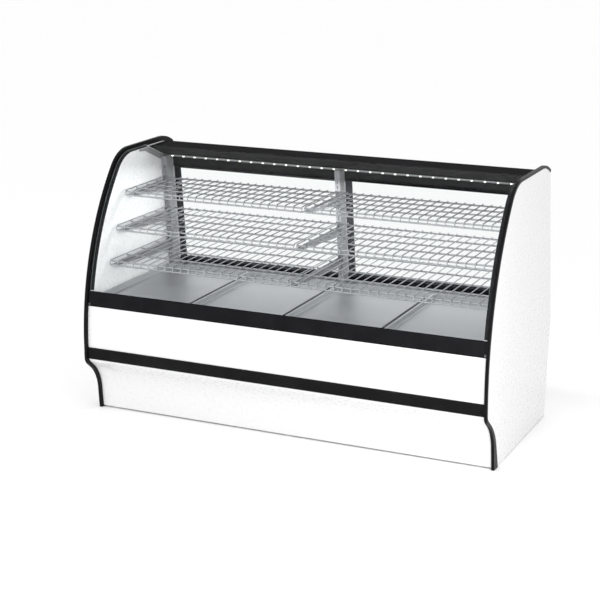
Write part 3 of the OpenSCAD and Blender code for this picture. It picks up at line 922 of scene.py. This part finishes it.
class CASE_OT_canopy(bpy.types.Operator):
    """Make the black canopy and the lamps under its front edge"""

    bl_idname = "case.canopy"
    bl_label = "Canopy and light"

    def execute(self, context):
        trim = context.scene.case_trim
        finish_nodes(["canopy"], width=0.0012, degrees=20.0, segments=3)
        finish_nodes(["led_channel"], width=0.0004)
        finish_nodes(["led_driver", "led_board"], width=0.0004)
        low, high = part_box("led_chips")
        wide = high.y - low.y
        step = (high.x - low.x - wide) / (trim.lamp_count - 1)
        bm = bmesh.new()
        for index in range(trim.lamp_count):
            x = low.x + wide / 2 + index * step
            top = Vector((x, (low.y + high.y) / 2, high.z))
            foot = top - Vector((0.0, 0.0, trim.lens_skirt))
            rod(bm, top, foot, wide, 16, wide * 0.94)
            dome(bm, foot, wide * 0.9, trim.lens_dome)
        add_piece("lamp_lenses", bm, ["led_chips"])
        return {"FINISHED"}


class CASE_OT_deck(bpy.types.Operator):
    """Make the deck floor and the four trays on it"""

    bl_idname = "case.deck"
    bl_label = "Deck and trays"

    def tray(self, node, trim):
        """A drawn sheet tray: rounded corners, sloping sides, a flat floor and a rolled rim."""
        low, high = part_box(node)
        bm = bmesh.new()
        middle = (low + high) / 2
        place = Matrix.Translation((middle.x, middle.y, high.z - trim.tray_gauge))
        size = Matrix.Diagonal(((high.x - low.x) / 2, (high.y - low.y) / 2, 1.0, 1.0))
        bmesh.ops.create_grid(bm, x_segments=1, y_segments=1, size=1.0, matrix=place @ size)
        bmesh.ops.bevel(
            bm,
            geom=bm.verts[:],
            offset=trim.tray_corner,
            segments=8,
            profile=0.5,
            affect="VERTICES",
            material=-1,
        )
        rim = [edge for edge in bm.edges if edge.is_boundary]
        lip = bmesh.ops.extrude_edge_only(bm, edges=rim)["geom"]
        lip_corners = [item for item in lip if isinstance(item, bmesh.types.BMVert)]
        bmesh.ops.translate(bm, verts=lip_corners, vec=(0.0, 0.0, -trim.tray_lip))
        floor = max(bm.faces, key=lambda face: face.calc_area())
        for thickness, depth in TRAY_RINGS:
            bmesh.ops.inset_region(bm, faces=[floor], thickness=thickness, depth=depth)
        return bm

    def execute(self, context):
        trim = context.scene.case_trim
        finish_nodes(["deck_floor"], width=0.0006)
        for number in range(1, 5):
            node = f"deck_tray_{number}"
            tray = add_piece(node + "_drawn", self.tray(node, trim), [node])
            wall = tray.modifiers.new("Sheet", "SOLIDIFY")
            wall.thickness = trim.tray_gauge
            wall.offset = -1.0
            edges = tray.modifiers.new("Soft edges", "BEVEL")
            edges.width = 0.0008
            edges.segments = 2
            edges.limit_method = "ANGLE"
            tray.modifiers.move(0, 2)
        return {"FINISHED"}


class CASE_OT_shelf_supports(bpy.types.Operator):
    """Make the slotted uprights and the shelf brackets"""

    bl_idname = "case.shelf_supports"
    bl_label = "Uprights and brackets"

    def execute(self, context):
        finish_nodes(["upright_left", "upright_centre", "upright_right"], width=0.0005)
        finish_nodes([f"brackets_{tier}" for tier in TIERS], width=0.0004)
        return {"FINISHED"}


class CASE_OT_shelves(bpy.types.Operator):
    """Make the three tiers of round-wire shelves with their ladder edges"""

    bl_idname = "case.shelves"
    bl_label = "Wire shelves"

    def bent_wire(self, bm, x, low, high, trim):
        """One wire from the back, along the top and down the front."""
        wire = trim.wire
        top = high.z - wire / 2
        front = low.y + wire / 2
        bend = trim.wire_bend + wire / 2
        place = Matrix.Translation((x, high.y, top)) @ Matrix.Rotation(math.pi / 2, 4, "X")
        ring = bmesh.ops.create_circle(
            bm, cap_ends=True, segments=8, radius=wire / 2, matrix=place
        )["verts"]
        face = ring[0].link_faces[0]
        face = self.run(bm, face, Vector((0.0, front + bend - high.y, 0.0)))
        turned = bmesh.ops.spin(
            bm,
            geom=[face, *face.edges, *face.verts],
            cent=(x, front + bend, top - bend),
            axis=(1.0, 0.0, 0.0),
            angle=math.pi / 2,
            steps=3,
            use_merge=False,
            use_duplicate=False,
        )["geom_last"]
        face = next(item for item in turned if isinstance(item, bmesh.types.BMFace))
        self.run(bm, face, Vector((0.0, 0.0, low.z + wire - (top - bend))))

    def run(self, bm, face, vector):
        """Draws a face out along a vector and returns the new end face."""
        made = bmesh.ops.extrude_face_region(bm, geom=[face])["geom"]
        corners = [item for item in made if isinstance(item, bmesh.types.BMVert)]
        bmesh.ops.translate(bm, verts=corners, vec=vector)
        return next(item for item in made if isinstance(item, bmesh.types.BMFace))

    def shelf(self, node, trim):
        """Half a tier, inside the box of its CAD node."""
        low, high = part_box(node)
        wire = trim.wire
        heavy = trim.shelf_rod
        bm = bmesh.new()
        left, right = low.x + wire / 2, high.x - wire / 2
        count = round((right - left) / trim.wire_pitch)
        for index in range(count + 1):
            self.bent_wire(bm, left + (right - left) * index / count, low, high, trim)
        under = high.z - wire - heavy / 2
        for share in SHELF_RODS:
            y = low.y + (high.y - low.y) * share
            rod(bm, (left, y, under), (right, y, under), heavy)
        ladder_y = low.y + wire + heavy / 2
        rod(bm, (left, ladder_y, low.z + heavy / 2), (right, ladder_y, low.z + heavy / 2), heavy)
        for x in (left, right):
            rod(bm, (x, ladder_y, low.z + wire / 2), (x, high.y - wire / 2, low.z + wire / 2), wire)
            rod(bm, (x, high.y - wire / 2, low.z), (x, high.y - wire / 2, high.z), wire)
        bmesh.ops.recalc_face_normals(bm, faces=bm.faces)
        return bm

    def execute(self, context):
        trim = context.scene.case_trim
        for tier in TIERS:
            for side in SIDES:
                node = f"shelf_{tier}_{side}"
                add_piece(node + "_wire", self.shelf(node, trim), [node])
        return {"FINISHED"}


class CASE_OT_doors(bpy.types.Operator):
    """Make the two sliding doors with their glass, pulls and glides"""

    bl_idname = "case.doors"
    bl_label = "Sliding doors"

    def execute(self, context):
        for side in SIDES:
            finish_nodes([f"door_{side}_frame"], width=0.0007)
            finish_nodes([f"door_{side}_glides", f"door_{side}_pull"], width=0.0005)
            glass = rounded(merged_copy(f"door_{side}_glass"), 0.0005)
            wide = 0.05  # in square metres; only the two large faces are clear
            for face in glass.faces:
                face.material_index = 0 if face.calc_area() > wide else 1
            add_piece(f"door_{side}_glass_clear", glass, [f"door_{side}_glass"], "glass_edge")
        return {"FINISHED"}


class CASE_OT_rear(bpy.types.Operator):
    """Make the door header and sill, the rear panel, the service cover and its fittings"""

    bl_idname = "case.rear"
    bl_label = "Rear"

    def execute(self, context):
        finish_nodes(["rear_header", "rear_sill"], width=0.0005)
        finish_nodes(["rear_panel"], width=0.0006, degrees=40.0)
        finish_nodes(["service_cover"], width=0.0005, degrees=20.0)
        finish_nodes(["panel_screws", "switch_plate", "cord_gland"], width=0.0004)
        finish_nodes(["switch_rocker"], width=0.0004, degrees=40.0)
        return {"FINISHED"}


class CASE_OT_base(bpy.types.Operator):
    """Make the base frame, the ribs behind the front skins and the levelling feet"""

    bl_idname = "case.base"
    bl_label = "Base frame"

    def execute(self, context):
        finish_nodes(["base_frame"], width=0.0010)
        finish_nodes(["front_ribs"], width=0.0004)
        finish_nodes(["levelling_feet"], width=0.0008, degrees=40.0)
        return {"FINISHED"}


class CASE_OT_stage(bpy.types.Operator):
    """Set up the camera, the floor, the white sky and the studio lights"""

    bl_idname = "case.stage"
    bl_label = "Stage"

    def camera(self, stage):
        """The camera, turned from its heading, dip and roll."""
        ahead = Vector(
            (
                -math.sin(stage.heading) * math.cos(stage.dip),
                math.cos(stage.heading) * math.cos(stage.dip),
                -math.sin(stage.dip),
            )
        )
        level = ahead.cross(Vector((0.0, 0.0, 1.0))).normalized()
        right = Matrix.Rotation(stage.roll, 3, ahead) @ level
        up = right.cross(ahead)
        turned = Matrix((right, up, -ahead)).transposed().to_4x4()
        data = bpy.data.cameras.new("case_camera")
        data.sensor_width = 36.0
        data.lens = stage.lens
        data.shift_x = stage.shift_x
        data.shift_y = stage.shift_y
        data.clip_end = 200.0
        camera = bpy.data.objects.new("case_camera", data)
        camera.matrix_world = Matrix.Translation(stage.camera_place) @ turned
        bpy.context.scene.collection.objects.link(camera)
        bpy.context.scene.camera = camera

    def light(self, name, place, aim, size, power):
        """A soft light that mirrors and the camera don't see."""
        data = bpy.data.lights.new(name, "AREA")
        data.shape = "RECTANGLE"
        data.size, data.size_y = size
        data.energy = power
        lamp = bpy.data.objects.new(name, data)
        toward = (Vector(aim) - Vector(place)).to_track_quat("-Z", "Y").to_matrix().to_4x4()
        lamp.matrix_world = Matrix.Translation(place) @ toward
        lamp.visible_camera = False
        lamp.visible_glossy = False
        bpy.context.scene.collection.objects.link(lamp)

    def execute(self, context):
        stage = context.scene.case_stage
        self.camera(stage)
        bm = bmesh.new()
        bmesh.ops.create_grid(bm, x_segments=1, y_segments=1, size=stage.floor_size)
        mesh = bpy.data.meshes.new("studio_floor")
        bm.to_mesh(mesh)
        bm.free()
        mesh.materials.append(studio_floor("studio_floor", context.scene.case_colours.floor))
        floor = bpy.data.objects.new("studio_floor", mesh)
        context.scene.collection.objects.link(floor)
        world = bpy.data.worlds.new("white_sky")
        world.use_nodes = True
        sky = world.node_tree.nodes["Background"]
        sky.inputs["Color"].default_value = (1.0, 1.0, 1.0, 1.0)
        sky.inputs["Strength"].default_value = stage.sky
        context.scene.world = world
        self.light(
            "key_light", place=(-0.6, -4.2, 1.3), aim=(0.0, -0.4, 0.4), size=(3.2, 1.8), power=stage.key
        )
        self.light(
            "fill_light", place=(1.65, -1.35, 0.9), aim=(1.0, -0.3, 0.6), size=(0.6, 1.4), power=stage.fill
        )
        low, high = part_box("canopy")
        self.light(
            "lamp_light",
            place=(0.0, low.y - 0.06, low.z - 0.02),
            aim=(0.0, low.y - 0.16, 0.5),
            size=(high.x - low.x - 0.5, 0.20),
            power=stage.inner,
        )
        context.scene.view_settings.view_transform = "Standard"
        context.scene.view_settings.look = "None"
        return {"FINISHED"}


class CASE_PT_panel(bpy.types.Panel):
    """Lists the steps that make the display case"""

    bl_idname = "CASE_PT_panel"
    bl_label = "Display Case"
    bl_space_type = "VIEW_3D"
    bl_region_type = "UI"
    bl_category = "Display Case"

    def draw(self, context):
        for step in STEPS:
            self.layout.operator(step.bl_idname)
        for group in GROUPS:
            settings = getattr(context.scene, group)
            box = self.layout.box()
            box.label(text=group.replace("_", " ").capitalize())
            for name in settings.__annotations__:
                box.prop(settings, name)


GROUPS = {
    "case_profile": CaseProfile,
    "case_trim": CaseTrim,
    "case_colours": CaseColours,
    "case_stage": CaseStage,
}
STEPS = (
    CASE_OT_stage,
    CASE_OT_front_skins,
    CASE_OT_ends,
    CASE_OT_front_glass,
    CASE_OT_canopy,
    CASE_OT_deck,
    CASE_OT_shelf_supports,
    CASE_OT_shelves,
    CASE_OT_doors,
    CASE_OT_rear,
    CASE_OT_base,
)


def register():
    """Makes the settings, the steps and the panel known to Blender."""
    for group, kind in GROUPS.items():
        bpy.utils.register_class(kind)
        setattr(bpy.types.Scene, group, bpy.props.PointerProperty(type=kind))
    for step in STEPS:
        bpy.utils.register_class(step)
    bpy.utils.register_class(CASE_PT_panel)


def unregister():
    """Takes them out again."""
    bpy.utils.unregister_class(CASE_PT_panel)
    for step in reversed(STEPS):
        bpy.utils.unregister_class(step)
    for group, kind in GROUPS.items():
        delattr(bpy.types.Scene, group)
        bpy.utils.unregister_class(kind)


def main():
    """Makes every piece in order."""
    register()
    for step in STEPS:
        family, name = step.bl_idname.split(".")
        getattr(getattr(bpy.ops, family), name)()
    bpy.context.view_layer.update()


if __name__ == "__main__":
    main()
